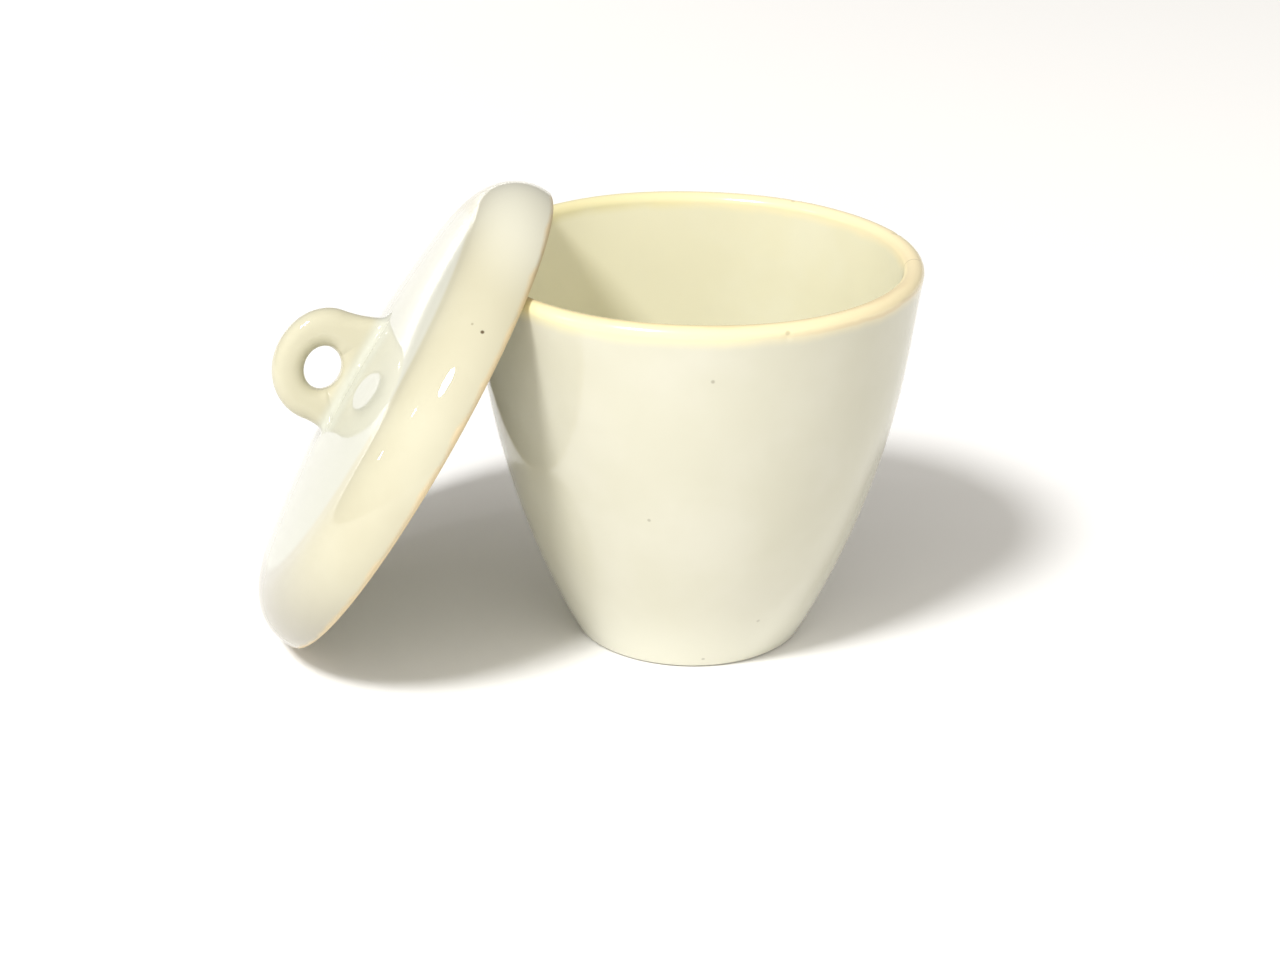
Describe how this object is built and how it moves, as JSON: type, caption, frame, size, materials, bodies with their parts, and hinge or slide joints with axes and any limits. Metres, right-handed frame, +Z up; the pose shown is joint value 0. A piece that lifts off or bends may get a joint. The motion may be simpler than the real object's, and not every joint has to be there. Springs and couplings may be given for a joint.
{
  "type": "porcelain crucible",
  "caption": "Glazed porcelain laboratory crucible: a tapered cup with a rounded lip and small flat foot, open, with its domed lid and loop handle leaning on the rim.",
  "frame": {"origin": "centre of the cup's foot, on the table", "axes": "+Z up along the cup's axis, -X towards the side where the lid leans"},
  "size_m": [0.067, 0.0526, 0.0461],
  "materials": {
    "body_glaze": "glossy clear glaze over warm white porcelain, thin and cream at the lip",
    "lid_glaze": "glossy clear glaze over warm white porcelain, bare and warmer at the bearing edge"
  },
  "bodies": {
    "root": {"crucible_body": "body_glaze", "crucible_lid": "lid_glaze"}
  },
  "joints": []
}
